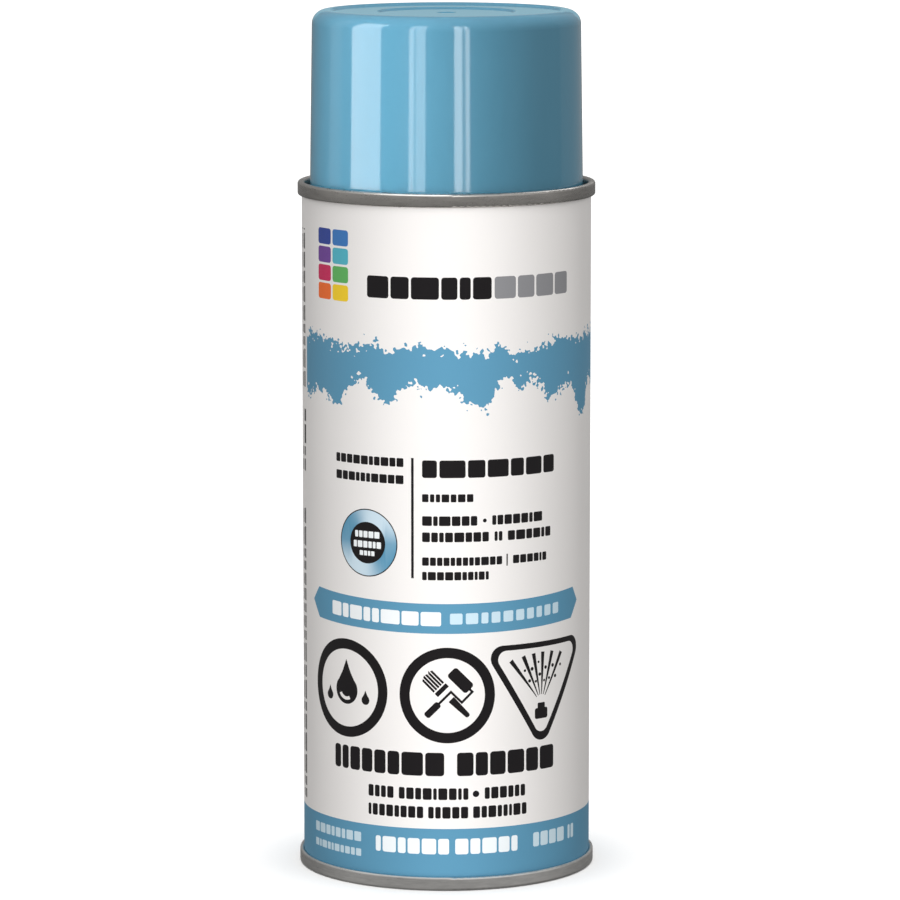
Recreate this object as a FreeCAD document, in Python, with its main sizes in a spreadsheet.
"""Aerosol spray paint can: three-piece tinplate can, 1-inch valve, spray head, overcap and mixing balls.

Frame: millimetres, +Z up, origin on the standing plane at the can's axis. The front of the can,
which the nozzle faces, is -Y. Every driving size is a cell of the spreadsheet "Dims".
"""

import math
import os

import FreeCAD
import Part
import Sketcher

V = FreeCAD.Vector
doc = FreeCAD.newDocument("aerosol_can")
sheet = doc.addObject("Spreadsheet::Sheet", "Dims")


class Dim:
    """A size as a number and as the expression that gives it from the sheet."""

    def __init__(self, value, text):
        self.value, self.text = float(value), text

    staticmethod
    def of(x):
        return x if isinstance(x, Dim) else Dim(x, repr(round(float(x), 6)))

    def _with(self, other, sign, value):
        return Dim(value, "(%s %s %s)" % (self.text, sign, other.text))

    def __add__(self, o):
        o = Dim.of(o)
        return self._with(o, "+", self.value + o.value)

    def __radd__(self, o):
        return Dim.of(o) + self

    def __sub__(self, o):
        o = Dim.of(o)
        return self._with(o, "-", self.value - o.value)

    def __rsub__(self, o):
        return Dim.of(o) - self

    def __mul__(self, o):
        o = Dim.of(o)
        return self._with(o, "*", self.value * o.value)

    def __rmul__(self, o):
        return Dim.of(o) * self

    def __truediv__(self, o):
        o = Dim.of(o)
        return self._with(o, "/", self.value / o.value)

    def __neg__(self):
        return Dim(-self.value, "(0 - %s)" % self.text)


ROW = [0]


def cell(alias, value, note):
    """One row of the sheet: name, number, what it is."""
    ROW[0] += 1
    n = ROW[0]
    sheet.set("A%d" % n, alias)
    sheet.set("B%d" % n, str(value))
    sheet.set("C%d" % n, note)
    sheet.setAlias("B%d" % n, alias)
    return Dim(value, "Dims." + alias)


# ---------------------------------------------------------------- sizes
can_high = cell("can_high", 158.75, "can from the standing plane to the top of the upper double seam")
seam_rad = cell("seam_rad", 34.13, "outer radius of both double seams")
seam_len = cell("seam_len", 3.10, "height of a double seam")
body_rad = cell("body_rad", 33.15, "outer radius of the body wall")
body_gauge = cell("body_gauge", 0.22, "body sheet thickness")
end_gauge = cell("end_gauge", 0.30, "end sheet thickness")
hook_gap = cell("hook_gap", 0.03, "clearance between the layers of a seam")
seam_room = cell("seam_room", 0.25, "room for sealant between the end and the body fold")
fold_fil = cell("fold_fil", 0.46, "outer radius of the fold under a seam")
crown_fil = cell("crown_fil", 0.60, "outer radius of the crown of a seam")
body_fil = cell("body_fil", 0.38, "outer radius of the body hook's fold")
chuck_in = cell("chuck_in", 32.59, "chuck wall radius at the seam crown")
moat_out = cell("moat_out", 32.25, "outer wall of the countersink at its floor")
moat_in = cell("moat_in", 29.95, "inner wall of the countersink at its floor")
moat_deep = cell("moat_deep", 4.60, "countersink depth under the seam crown")
knee_rad = cell("knee_rad", 29.55, "radius where the countersink wall turns into the dome")
knee_up = cell("knee_up", -1.30, "height of that turn over the seam crown")
dome_rad = cell("dome_rad", 23.50, "radius of the dome's shoulder")
dome_up = cell("dome_up", 4.40, "height of the dome's shoulder over the seam crown")
neck_rad = cell("neck_rad", 12.70, "inside radius of the one-inch opening")
neck_up = cell("neck_up", 7.00, "height of the neck's root over the seam crown")
curl_up = cell("curl_up", 11.20, "top of the curl over the seam crown")
curl_wide = cell("curl_wide", 2.80, "curl's outside width")
base_chuck = cell("base_chuck", 32.35, "bottom end's chuck wall radius at its shoulder")
base_step = cell("base_step", 4.00, "height of the bottom end's shoulder")
base_crown = cell("base_crown", 10.80, "height of the middle of the bottom end")
base_flat = cell("base_flat", 18.00, "radius where the bottom end's cone and crown lines meet")
base_round = cell("base_round", 60.0, "radius of the bottom end's bulge")
weld_wide = cell("weld_wide", 1.20, "width of the side weld's overlap")
weld_thick = cell("weld_thick", 0.36, "thickness through the side weld")
weld_end = cell("weld_end", 6.0, "distance of the weld bead from each end")
cup_gauge = cell("cup_gauge", 0.30, "valve cup sheet thickness")
cup_rad = cell("cup_rad", 16.10, "outside radius of the valve cup's rim")
cup_top = cell("cup_top", 11.90, "top of the valve cup's rim over the seam crown")
cup_wall = cell("cup_wall", 12.32, "axis-side radius of the valve cup's wall")
cup_floor = cell("cup_floor", 3.90, "top of the valve cup's floor over the seam crown")
clinch_rad = cell("clinch_rad", 13.05, "axis-side radius of the clinch under the neck")
ped_rad = cell("ped_rad", 5.60, "outside radius of the pedestal")
ped_top = cell("ped_top", 11.50, "top of the pedestal over the seam crown")
crimp_rad = cell("crimp_rad", 5.05, "outside radius of the crimp that holds the valve housing")
stem_hole = cell("stem_hole", 2.35, "radius of the hole for the stem")
ring_thick = cell("ring_thick", 0.36, "thickness of the cup gasket, squeezed")
gasket_thick = cell("gasket_thick", 1.06, "stem gasket thickness")
gasket_in = cell("gasket_in", 1.60, "stem gasket hole radius")
stem_rad = cell("stem_rad", 2.00, "stem radius")
stem_top = cell("stem_top", 19.00, "top of the stem over the seam crown")
stem_bore = cell("stem_bore", 0.85, "stem bore radius")
stem_neck = cell("stem_neck", 1.55, "radius of the stem's neck, which the gasket wipes")
stem_stroke = cell("stem_stroke", 1.50, "travel of the stem")
stem_shoulder = cell("stem_shoulder", 2.85, "stem shoulder radius")
stem_port = cell("stem_port", 0.35, "radius of the stem's cross ports")
stem_guide = cell("stem_guide", 1.35, "radius of the stem's spring guide")
house_head = cell("house_head", 5.22, "valve housing head radius")
house_rad = cell("house_rad", 4.30, "valve housing body radius")
house_bore = cell("house_bore", 3.15, "valve housing bore radius")
house_low = cell("house_low", -2.50, "bottom of the housing body over the seam crown")
house_floor = cell("house_floor", -1.00, "spring seat over the seam crown")
tail_rad = cell("tail_rad", 1.48, "tail piece radius")
tail_bore = cell("tail_bore", 0.80, "tail orifice radius")
tail_len = cell("tail_len", 8.50, "tail piece length")
spring_rad = cell("spring_rad", 2.00, "spring mean radius")
spring_wire = cell("spring_wire", 0.25, "spring wire radius")
spring_coils = cell("spring_coils", 5.5, "number of coils")
tube_rad = cell("tube_rad", 2.00, "dip tube outside radius")
tube_bore = cell("tube_bore", 1.50, "dip tube inside radius")
tube_bend_up = cell("tube_bend_up", 95.0, "height where the dip tube's two straight lines meet")
tube_bend = cell("tube_bend", 200.0, "radius of the dip tube's bend")
tube_out = cell("tube_out", 23.5, "distance of the dip tube's end from the axis")
tube_end = cell("tube_end", 11.0, "height of the dip tube's end")
ball_rad = cell("ball_rad", 3.175, "mixing ball radius, a quarter-inch ball")
ball_track = cell("ball_track", 29.70, "distance of a resting ball's centre from the axis")
ball_up = cell("ball_up", 9.12, "height of a resting ball's centre")
head_rad = cell("head_rad", 7.00, "spray head radius at its skirt")
head_low = cell("head_low", 13.60, "bottom of the spray head over the seam crown")
head_top = cell("head_top", 27.00, "top of the spray head over the seam crown")
head_crown = cell("head_crown", 6.60, "spray head radius at its top")
socket_rad = cell("socket_rad", 2.04, "radius of the socket that takes the stem")
boss_rad = cell("boss_rad", 3.40, "socket boss radius")
nozzle_up = cell("nozzle_up", 21.60, "height of the nozzle over the seam crown")
nozzle_rad = cell("nozzle_rad", 2.28, "nozzle insert radius")
nozzle_seat = cell("nozzle_seat", 4.50, "distance of the insert's seat from the axis")
nozzle_face = cell("nozzle_face", 6.60, "distance of the insert's face from the axis")
orifice_rad = cell("orifice_rad", 0.25, "spray orifice radius")
pad_rad = cell("pad_rad", 10.0, "radius of the finger pad's hollow")
pad_deep = cell("pad_deep", 1.80, "depth of the finger pad's hollow")
cap_rad = cell("cap_rad", 31.30, "overcap radius at its lower edge")
cap_crown = cell("cap_crown", 30.68, "overcap radius at its top, before the rounding")
cap_top = cell("cap_top", 197.80, "top of the overcap over the standing plane")
cap_low = cell("cap_low", -2.20, "overcap's lower edge over the seam crown")
cap_wall = cell("cap_wall", 1.10, "overcap wall thickness")
cap_fil = cell("cap_fil", 3.20, "rounding of the overcap's top edge")
lip_rad = cell("lip_rad", 26.60, "inner radius of the overcap's raised lip")
lip_step = cell("lip_step", 0.40, "depth of the panel under the lip")
disc_rad = cell("disc_rad", 15.90, "radius of the overcap's sunk disc")
disc_step = cell("disc_step", 0.30, "depth of the sunk disc")
gate_rad = cell("gate_rad", 2.20, "radius of the gate dimple")
gate_deep = cell("gate_deep", 0.50, "depth of the gate dimple")
grip_in = cell("grip_in", 16.45, "inner radius of the overcap's grip ring")
grip_wall = cell("grip_wall", 0.90, "grip ring thickness")
grip_low = cell("grip_low", 8.80, "bottom of the grip ring over the seam crown")
rib_in = cell("rib_in", 16.16, "radius that the grip ribs reach in to")
rib_wide = cell("rib_wide", 1.20, "grip rib width")
rib_high = cell("rib_high", 5.00, "grip rib height")
stop_high = cell("stop_high", 4.00, "height of the stops that stand on the valve cup's rim")
web_wide = cell("web_wide", 0.90, "web thickness")
web_high = cell("web_high", 10.0, "web height")
doc.recompute()

top = can_high  # short name for the datum that most of the valve is measured from


# ---------------------------------------------------------------- tools
def place_sketch(body, sketch, role, lift=None):
    """Attaches a sketch to one of its body's own origin planes, lifted along the plane's normal."""
    plane = [f for f in body.Origin.OriginFeatures if f.Role == role][0]
    sketch.AttachmentSupport = [(plane, "")]
    sketch.MapMode = "FlatFace"
    if lift is not None:
        lift = Dim.of(lift)
        sketch.AttachmentOffset = FreeCAD.Placement(V(0, 0, lift.value), FreeCAD.Rotation())
        sketch.setExpression("AttachmentOffset.Base.z", lift.text)


def pin(sketch, geo, pos, x, z):
    """Fixes a point of a sketch at sizes from the sheet."""
    for kind, d, axis in (("DistanceX", Dim.of(x), -2), ("DistanceY", Dim.of(z), -1)):
        if abs(d.value) < 1e-9:
            sketch.addConstraint(Sketcher.Constraint("PointOnObject", geo, pos, axis))
        elif d.value > 0:
            i = sketch.addConstraint(Sketcher.Constraint(kind, -1, 1, geo, pos, d.value))
            sketch.setExpression("Constraints[%d]" % i, d.text)
        else:
            i = sketch.addConstraint(Sketcher.Constraint(kind, geo, pos, -1, 1, -d.value))
            sketch.setExpression("Constraints[%d]" % i, (-d).text)


def outline(sketch, corners, closed):
    """Lines through the corners, each corner (x, z) or (x, z, fillet radius), all bound to the sheet."""
    pts = [(Dim.of(c[0]), Dim.of(c[1]), Dim.of(c[2]) if len(c) > 2 else None) for c in corners]
    n = len(pts)
    at = [V(p[0].value, p[1].value, 0) for p in pts]
    rounded = [
        p[2] is not None and (closed or 0 < i < n - 1) for i, p in enumerate(pts)
    ]
    start, end, centre = list(at), list(at), [None] * n  # where the line leaves and reaches a corner
    for i in range(n):
        if rounded[i]:
            a, b = at[i - 1] - at[i], at[(i + 1) % n] - at[i]
            a.normalize()
            b.normalize()
            half = math.acos(max(-1, min(1, a.dot(b)))) / 2
            r = pts[i][2].value
            end[i] = at[i] + a * (r / math.tan(half))
            start[i] = at[i] + b * (r / math.tan(half))
            centre[i] = at[i] + (a + b).normalize() * (r / math.sin(half))
    lines = {}
    for i in range(n if closed else n - 1):
        j = (i + 1) % n
        lines[i] = sketch.addGeometry(Part.LineSegment(start[i], end[j]), False)
    for i in range(n):
        before, after = lines.get((i - 1) % n), lines.get(i)
        if not closed and i == 0:
            pin(sketch, after, 1, pts[i][0], pts[i][1])
        elif not closed and i == n - 1:
            pin(sketch, before, 2, pts[i][0], pts[i][1])
        elif not rounded[i]:
            sketch.addConstraint(Sketcher.Constraint("Coincident", before, 2, after, 1))
            pin(sketch, before, 2, pts[i][0], pts[i][1])
        else:
            c = centre[i]
            s, e = end[i] - c, start[i] - c
            a0, a1 = math.atan2(s.y, s.x), math.atan2(e.y, e.x)
            turn = (a1 - a0) % (2 * math.pi)
            if turn > math.pi:  # clockwise from the first line to the second
                a0, a1, first, second = a1, a0, 2, 1
            else:
                first, second = 1, 2
            while a1 < a0:
                a1 += 2 * math.pi
            arc = sketch.addGeometry(
                Part.ArcOfCircle(Part.Circle(c, V(0, 0, 1), pts[i][2].value), a0, a1), False
            )
            corner = sketch.addGeometry(Part.Point(at[i]), True)
            sketch.addConstraint(Sketcher.Constraint("Tangent", before, 2, arc, first))
            sketch.addConstraint(Sketcher.Constraint("Tangent", arc, second, after, 1))
            k = sketch.addConstraint(Sketcher.Constraint("Radius", arc, pts[i][2].value))
            sketch.setExpression("Constraints[%d]" % k, pts[i][2].text)
            sketch.addConstraint(Sketcher.Constraint("PointOnObject", corner, 1, before))
            sketch.addConstraint(Sketcher.Constraint("PointOnObject", corner, 1, after))
            pin(sketch, corner, 1, pts[i][0], pts[i][1])
    return sketch


def ring_of(sketch, x, z, radius):
    """A circle bound to the sheet."""
    x, z, radius = Dim.of(x), Dim.of(z), Dim.of(radius)
    c = sketch.addGeometry(Part.Circle(V(x.value, z.value, 0), V(0, 0, 1), radius.value), False)
    k = sketch.addConstraint(Sketcher.Constraint("Radius", c, radius.value))
    sketch.setExpression("Constraints[%d]" % k, radius.text)
    if abs(x.value) < 1e-9 and abs(z.value) < 1e-9:
        sketch.addConstraint(Sketcher.Constraint("Coincident", c, 3, -1, 1))
    else:
        pin(sketch, c, 3, x, z)


def new_body(label):
    body = doc.addObject("PartDesign::Body", label)
    body.Label = label
    return body


def sketch_in(body, name, role, lift=None):
    s = body.newObject("Sketcher::SketchObject", name)
    place_sketch(body, s, role, lift)
    return s


def turned(label, corners):
    """A body turned about Z from a closed outline in (radius, height)."""
    body = new_body(label)
    s = outline(sketch_in(body, label + "_profile", "XZ_Plane"), corners, True)
    rev = body.newObject("PartDesign::Revolution", label + "_turned")
    rev.Profile = s
    rev.ReferenceAxis = (s, ["V_Axis"])
    rev.Angle = 360
    s.Visibility = False
    body.Tip = rev
    doc.recompute()
    return body


def pressed(label, corners, gauge, side):
    """A sheet-metal shell turned about Z: an open line with the sheet's thickness on one side of it."""
    s = doc.addObject("Sketcher::SketchObject", label + "_line")
    s.Placement = FreeCAD.Placement(V(0, 0, 0), FreeCAD.Rotation(V(1, 0, 0), 90))
    outline(s, corners, False)
    doc.recompute()
    band = doc.addObject("Part::Offset2D", label + "_section")
    band.Source = s
    band.Mode = "Skin"
    band.Join = "Intersection"
    band.Fill = True
    band.Value = side * gauge.value
    band.setExpression("Value", gauge.text if side > 0 else "0 - " + gauge.text)
    shell = doc.addObject("Part::Revolution", label)
    shell.Source = band
    shell.Axis = (0, 0, 1)
    shell.Base = (0, 0, 0)
    shell.Angle = 360
    shell.Solid = True
    shell.Label = label
    doc.recompute()
    return shell


def cut(body, sketch, name, length, both=False, back=False):
    """A pocket that has to take something away."""
    was = body.Shape.Volume
    p = body.newObject("PartDesign::Pocket", name)
    p.Profile = sketch
    p.Type = 0
    length = Dim.of(length)
    p.Length = length.value
    p.setExpression("Length", length.text)
    p.Midplane = both
    p.Reversed = back
    doc.recompute()
    body.Tip = p
    doc.recompute()
    if not body.Shape.Volume < was - 1e-3:
        raise RuntimeError(name + " cuts nothing")
    return p


def raise_pad(body, sketch, name, length):
    """A pad that has to add something."""
    was = body.Shape.Volume
    p = body.newObject("PartDesign::Pad", name)
    p.Profile = sketch
    length = Dim.of(length)
    p.Length = length.value
    p.setExpression("Length", length.text)
    doc.recompute()
    body.Tip = p
    doc.recompute()
    if not body.Shape.Volume > was + 1e-3:
        raise RuntimeError(name + " adds nothing")
    return p


def around(body, feature, name, count):
    """Repeats a feature evenly about Z."""
    was = body.Shape.Volume
    pattern = body.newObject("PartDesign::PolarPattern", name)
    pattern.Originals = [feature]
    pattern.Axis = ([f for f in body.Origin.OriginFeatures if f.Role == "Z_Axis"][0], [""])
    pattern.Angle = 360
    pattern.Occurrences = count
    body.Tip = pattern
    doc.recompute()
    if abs(body.Shape.Volume - was) < 1e-3:
        raise RuntimeError(name + " repeats nothing")
    return pattern


# ---------------------------------------------------------------- the can's shell
# Radii of a seam's layers, from the outside in: end wall, body hook, cover hook, body wall, chuck wall.
hook_in = body_rad + hook_gap  # cover hook, side that faces the body wall
body_hook = hook_in + end_gauge + hook_gap + body_gauge  # body hook, outward side
body_skin = body_rad - body_gauge  # inside of the body wall
body_lift = end_gauge + seam_room  # body fold under the seam crown
cover_tip = body_lift + 0.40  # end of the cover hook
hook_tip = seam_len - end_gauge - 0.20  # end of the body hook

can_wall = pressed(
    "can_wall",
    [
        (body_hook, hook_tip),
        (body_hook, body_lift, body_fil),
        (body_skin, body_lift, body_fil),
        (body_skin, top - body_lift, body_fil),
        (body_hook, top - body_lift, body_fil),
        (body_hook, top - hook_tip),
    ],
    body_gauge,
    -1,
)
# The wall is rolled from flat sheet and welded along the back, where the overlap stands a little proud.
weld = doc.addObject("Part::Box", "side_weld")
weld.setExpression("Length", weld_wide.text)
weld.setExpression("Width", weld_thick.text)
weld.setExpression("Height", (top - weld_end * 2).text)
weld.setExpression("Placement.Base.x", (-(weld_wide / 2)).text)
weld.setExpression("Placement.Base.y", (body_rad - body_gauge / 2 - weld_thick / 2).text)
weld.setExpression("Placement.Base.z", weld_end.text)
can_body = doc.addObject("Part::Fuse", "can_body")
can_body.Base = can_wall
can_body.Tool = weld
can_body.Label = "can_body"
doc.recompute()

curl_x = neck_rad + curl_wide - end_gauge
can_top = pressed(
    "can_top",
    [
        (hook_in, top - cover_tip),
        (hook_in, top - seam_len, fold_fil),
        (seam_rad, top - seam_len, fold_fil),
        (seam_rad, top, crown_fil),
        (chuck_in, top, crown_fil),
        (moat_out, top - moat_deep, 1.0),
        (moat_in, top - moat_deep, 1.0),
        (knee_rad, top + knee_up, 3.0),
        (dome_rad, top + dome_up, 14.0),
        (neck_rad + end_gauge, top + neck_up, 1.0),
        (neck_rad + end_gauge, top + curl_up - end_gauge, 1.07),
        (curl_x, top + curl_up - end_gauge, 1.07),
        (curl_x, top + curl_up - curl_wide + end_gauge, 1.07),
        (curl_x - 1.55, top + curl_up - curl_wide + end_gauge),
    ],
    end_gauge,
    1,
)

can_bottom = pressed(
    "can_bottom",
    [
        (hook_in, cover_tip),
        (hook_in, seam_len, fold_fil),
        (seam_rad, seam_len, fold_fil),
        (seam_rad, 0, crown_fil),
        (chuck_in, 0, crown_fil),
        (base_chuck, base_step, 1.2),
        (base_flat, base_crown, base_round),
        (0, base_crown),
    ],
    end_gauge,
    -1,
)

# Lining compound that seals each seam, squeezed between the end's crown and the body fold.
seal_in, seal_out = body_skin + 0.17, body_hook - 0.11
for label, low, high in (
    ("seam_sealant_top", top - body_lift + 0.02, top - end_gauge - 0.03),
    ("seam_sealant_bottom", end_gauge + 0.03, body_lift - 0.02),
):
    turned(label, [(seal_in, low), (seal_out, low), (seal_out, high), (seal_in, high)])

# ---------------------------------------------------------------- the valve
mounting_cup = pressed(
    "mounting_cup",
    [
        (cup_rad, top + 9.10),
        (cup_rad, top + cup_top, 0.80),
        (cup_wall, top + cup_top, 0.80),
        (cup_wall, top + 6.60, 0.50),
        (clinch_rad, top + 5.90, 0.40),
        (cup_wall - 0.02, top + 5.20, 0.50),
        (cup_wall - 0.02, top + cup_floor, 1.0),
        (ped_rad + 0.70, top + cup_floor, 0.70),
        (crimp_rad, top + 6.60, 0.60),
        (ped_rad, top + 7.90, 0.60),
        (ped_rad, top + ped_top, 0.80),
        (stem_hole, top + ped_top),
    ],
    cup_gauge,
    1,
)

cup_gasket = turned(
    "cup_gasket",
    [
        (neck_rad + 0.75, top + curl_up + 0.02),
        (neck_rad + 2.15, top + curl_up + 0.02),
        (neck_rad + 2.15, top + curl_up + 0.02 + ring_thick),
        (neck_rad + 0.75, top + curl_up + 0.02 + ring_thick),
    ],
)

gasket_top = top + ped_top - cup_gauge - 0.02
gasket_low = gasket_top - gasket_thick
stem_gasket = turned(
    "stem_gasket",
    [
        (gasket_in, gasket_low),
        (house_head - 0.52, gasket_low),
        (house_head - 0.52, gasket_top),
        (gasket_in, gasket_top),
    ],
)

house_top = gasket_low - 0.02
valve_housing = turned(
    "valve_housing",
    [
        (house_bore, house_top),
        (house_head, house_top, 0.20),
        (house_head, top + 8.50, 0.20),
        (house_rad + 0.30, top + 7.60),
        (house_rad, top + 7.55),
        (house_rad, top + house_low, 0.80),
        (tail_rad + 0.60, top + house_low - 0.01),
        (tail_rad, top + house_low - 0.60),
        (tail_rad, top + house_low - tail_len + 0.60),
        (tail_rad - 0.30, top + house_low - tail_len),
        (tail_bore, top + house_low - tail_len),
        (tail_bore, top + house_floor, 0.15),
        (house_bore, top + house_floor, 0.30),
    ],
)
# Filling notches round the rim of the housing's head.
notch = sketch_in(valve_housing, "notch", "XY_Plane", house_top - 0.60)
outline(
    notch,
    [
        (house_head - 0.90, -0.60),
        (house_head + 0.60, -0.60),
        (house_head + 0.60, 0.60),
        (house_head - 0.90, 0.60),
    ],
    True,
)
around(valve_housing, cut(valve_housing, notch, "filling_notch", 2.0, back=True), "filling_notches", 4)

groove_low = gasket_low - 0.02
shoulder_low = top + 7.60
valve_stem = turned(
    "valve_stem",
    [
        (0, top + 3.80),
        (stem_guide, top + 3.80, 0.40),
        (stem_guide, shoulder_low),
        (stem_shoulder, shoulder_low, 0.20),
        (stem_shoulder, groove_low, 0.25),
        (stem_neck, groove_low),
        (stem_neck, top + ped_top + stem_stroke + 0.10),
        (stem_rad, top + ped_top + stem_stroke + 0.40),
        (stem_rad, top + stem_top, 0.30),
        (stem_bore, top + stem_top),
        (stem_bore, groove_low + 0.20),
        (0, groove_low + 0.20),
    ],
)
ports = sketch_in(valve_stem, "ports", "XZ_Plane")
ring_of(ports, 0, groove_low + gasket_thick * 0.5 + 0.10, stem_port)
cut(valve_stem, ports, "cross_ports", 10.0, both=True)

# Compression spring between the housing's floor and the stem's shoulder.
spring_low = top + house_floor + 0.02
spring_span = shoulder_low - 0.02 - spring_low - spring_wire * 2
helix = doc.addObject("Part::Helix", "spring_line")
helix.setExpression("Radius", spring_rad.text)
helix.setExpression("Height", spring_span.text)
helix.setExpression("Pitch", (spring_span / spring_coils).text)
helix.setExpression("Placement.Base.z", (spring_low + spring_wire).text)
wire = doc.addObject("Part::Circle", "spring_section")
wire.setExpression("Radius", spring_wire.text)
wire.Placement = FreeCAD.Placement(V(0, 0, 0), FreeCAD.Rotation(V(1, 0, 0), 90))
wire.setExpression("Placement.Base.x", spring_rad.text)
wire.setExpression("Placement.Base.z", (spring_low + spring_wire).text)
doc.recompute()
valve_spring = doc.addObject("Part::Sweep", "valve_spring")
valve_spring.Sections = [wire]
valve_spring.Spine = (helix, ["Edge1"])
valve_spring.Solid = True
valve_spring.Frenet = True
valve_spring.Label = "valve_spring"
doc.recompute()

# Dip tube: pushed over the housing's tail, bent forward to the corner under the nozzle.
tube_top = top + house_low - 0.70
dip_tube = new_body("dip_tube")
route = sketch_in(dip_tube, "tube_route", "YZ_Plane")
outline(route, [(0, tube_top), (0, tube_bend_up, tube_bend), (-tube_out, tube_end)], False)
section = sketch_in(dip_tube, "tube_section", "XY_Plane", tube_top)
ring_of(section, 0, 0, tube_rad)
ring_of(section, 0, 0, tube_bore)
doc.recompute()
pipe = dip_tube.newObject("PartDesign::AdditivePipe", "tube_drawn")
pipe.Profile = section
pipe.Spine = (route, [])
doc.recompute()
dip_tube.Tip = pipe
doc.recompute()

# Mixing balls, at rest between the wall and the bottom end's slope.
for label, side in (("mixing_ball_1", 1), ("mixing_ball_2", -1)):
    ball = doc.addObject("Part::Sphere", label)
    ball.Label = label
    ball.setExpression("Radius", ball_rad.text)
    ball.setExpression("Placement.Base.x", (ball_track * side).text)
    ball.setExpression("Placement.Base.z", ball_up.text)
doc.recompute()

# ---------------------------------------------------------------- the spray head
spray_button = turned(
    "spray_button",
    [
        (socket_rad, top + head_low + 0.30),
        (boss_rad, top + head_low + 0.30),
        (boss_rad, top + 19.60, 0.40),
        (head_rad - 1.15, top + 19.60, 0.40),
        (head_rad - 1.05, top + head_low),
        (head_rad, top + head_low, 0.30),
        (head_crown, top + head_top, 1.20),
        (0, top + head_top),
        (0, top + nozzle_up + 0.80),
        (0.90, top + nozzle_up + 0.80),
        (0.90, top + stem_top + 0.10),
        (socket_rad, top + stem_top + 0.10),
    ],
)
seat = sketch_in(spray_button, "insert_seat", "XZ_Plane", nozzle_seat)
ring_of(seat, 0, top + nozzle_up, nozzle_rad + 0.02)
cut(spray_button, seat, "insert_bore", 5.0, back=True)
feed = sketch_in(spray_button, "feed", "XZ_Plane")
ring_of(feed, 0, top + nozzle_up, 0.80)
cut(spray_button, feed, "feed_bore", nozzle_seat + 0.10, back=True)
pad = sketch_in(spray_button, "finger_pad", "YZ_Plane")
ring_of(pad, 0.80, top + head_top + pad_rad - pad_deep, pad_rad)
cut(spray_button, pad, "finger_hollow", 30.0, both=True)

# Nozzle insert, turned about the spray axis: its outline is drawn from its own centre.
nozzle_insert = new_body("nozzle_insert")
plug = sketch_in(nozzle_insert, "insert_profile", "YZ_Plane")
plug.setExpression("AttachmentOffset.Base.y", (top + nozzle_up).text)
outline(
    plug,
    [
        (-nozzle_face, 0.95),
        (-nozzle_face, nozzle_rad, 0.20),
        (-(nozzle_seat + 0.02), nozzle_rad),
        (-(nozzle_seat + 0.02), 1.30),
        (-(nozzle_face - 1.20), 1.30),
        (-(nozzle_face - 1.00), orifice_rad),
        (-(nozzle_face - 0.55), orifice_rad),
    ],
    True,
)
turn = nozzle_insert.newObject("PartDesign::Revolution", "insert_turned")
turn.Profile = plug
turn.ReferenceAxis = (plug, ["H_Axis"])
turn.Angle = 360
nozzle_insert.Tip = turn
doc.recompute()

# ---------------------------------------------------------------- the overcap
under = cap_top - lip_step - disc_step - 1.20  # inside of the top panel
overcap = turned(
    "overcap",
    [
        (0, cap_top - lip_step - disc_step - gate_deep),
        (gate_rad - 0.30, cap_top - lip_step - disc_step - gate_deep, 0.15),
        (gate_rad, cap_top - lip_step - disc_step, 0.20),
        (disc_rad - 0.35, cap_top - lip_step - disc_step, 0.30),
        (disc_rad, cap_top - lip_step, 0.30),
        (lip_rad - 0.50, cap_top - lip_step, 0.40),
        (lip_rad, cap_top, 0.40),
        (cap_crown, cap_top, cap_fil),
        (cap_rad, top + cap_low, 0.30),
        (cap_rad - cap_wall, top + cap_low, 0.30),
        (cap_crown - cap_wall, under, 2.20),
        (grip_in + grip_wall + 0.12, under, 0.40),
        (grip_in + grip_wall, top + grip_low, 0.25),
        (grip_in, top + grip_low, 0.25),
        (grip_in - 0.05, under, 0.40),
        (0, under),
    ],
)
rib = sketch_in(overcap, "grip_rib_section", "XY_Plane", top + grip_low + 0.30)
outline(
    rib,
    [
        (-(rib_wide / 2), rib_in),
        (rib_wide / 2, rib_in),
        (rib_wide / 2, grip_in + 0.40),
        (-(rib_wide / 2), grip_in + 0.40),
    ],
    True,
)
around(overcap, raise_pad(overcap, rib, "grip_rib", rib_high), "grip_ribs", 6)
stop = sketch_in(overcap, "stop_section", "XY_Plane", top + cup_top + 0.08)
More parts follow.
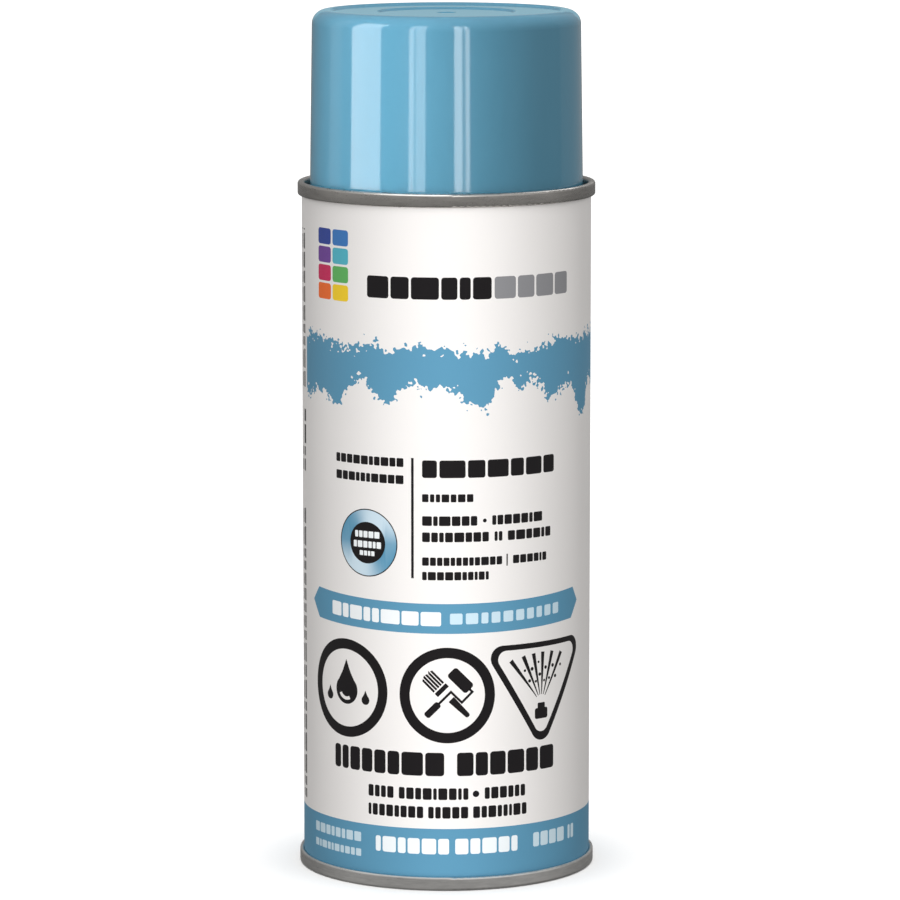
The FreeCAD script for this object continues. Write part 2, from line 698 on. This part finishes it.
outline(
    stop,
    [
        (-(rib_wide / 2), cup_rad - 1.60),
        (rib_wide / 2, cup_rad - 1.60),
        (rib_wide / 2, grip_in + 0.40),
        (-(rib_wide / 2), grip_in + 0.40),
    ],
    True,
)
around(overcap, raise_pad(overcap, stop, "stop", stop_high), "stops", 6)
web = sketch_in(overcap, "web_section", "XY_Plane", under - web_high)
outline(
    web,
    [
        (-(web_wide / 2), grip_in + grip_wall / 2),
        (web_wide / 2, grip_in + grip_wall / 2),
        (web_wide / 2, cap_crown - cap_wall + 0.30),
        (-(web_wide / 2), cap_crown - cap_wall + 0.30),
    ],
    True,
)
around(overcap, raise_pad(overcap, web, "web", web_high + 0.30), "webs", 6)

# ---------------------------------------------------------------- checks and files
doc.recompute()
NODES = [
    "can_body",
    "can_top",
    "can_bottom",
    "seam_sealant_top",
    "seam_sealant_bottom",
    "mounting_cup",
    "cup_gasket",
    "stem_gasket",
    "valve_housing",
    "valve_spring",
    "valve_stem",
    "dip_tube",
    "mixing_ball_1",
    "mixing_ball_2",
    "spray_button",
    "nozzle_insert",
    "overcap",
]
for o in doc.Objects:
    if "Invalid" in o.State or "Error" in o.State:
        raise RuntimeError("%s failed: %s" % (o.Name, o.State))
    if o.TypeId == "Sketcher::SketchObject" and (o.solve() != 0 or not o.FullyConstrained):
        raise RuntimeError("sketch %s isn't fully constrained" % o.Name)
os.makedirs("parts", exist_ok=True)
for name in NODES:
    found = [o for o in doc.Objects if o.Label == name and hasattr(o, "Shape")]
    if len(found) != 1:
        raise RuntimeError("%d objects are labelled %s" % (len(found), name))
    shape = found[0].Shape
    if shape.isNull() or not shape.isValid() or not shape.Solids:
        raise RuntimeError("%s has no valid solid" % name)
    if shape.Volume <= 0:
        raise RuntimeError("%s is inside out" % name)
    box = shape.BoundBox
    print(
        "%-20s %9.2f mm3  solids %d  x %.2f..%.2f y %.2f..%.2f z %.2f..%.2f"
        % (name, shape.Volume, len(shape.Solids), box.XMin, box.XMax, box.YMin, box.YMax, box.ZMin, box.ZMax)
    )
    shape.exportStep(os.path.join("parts", name + ".step"))
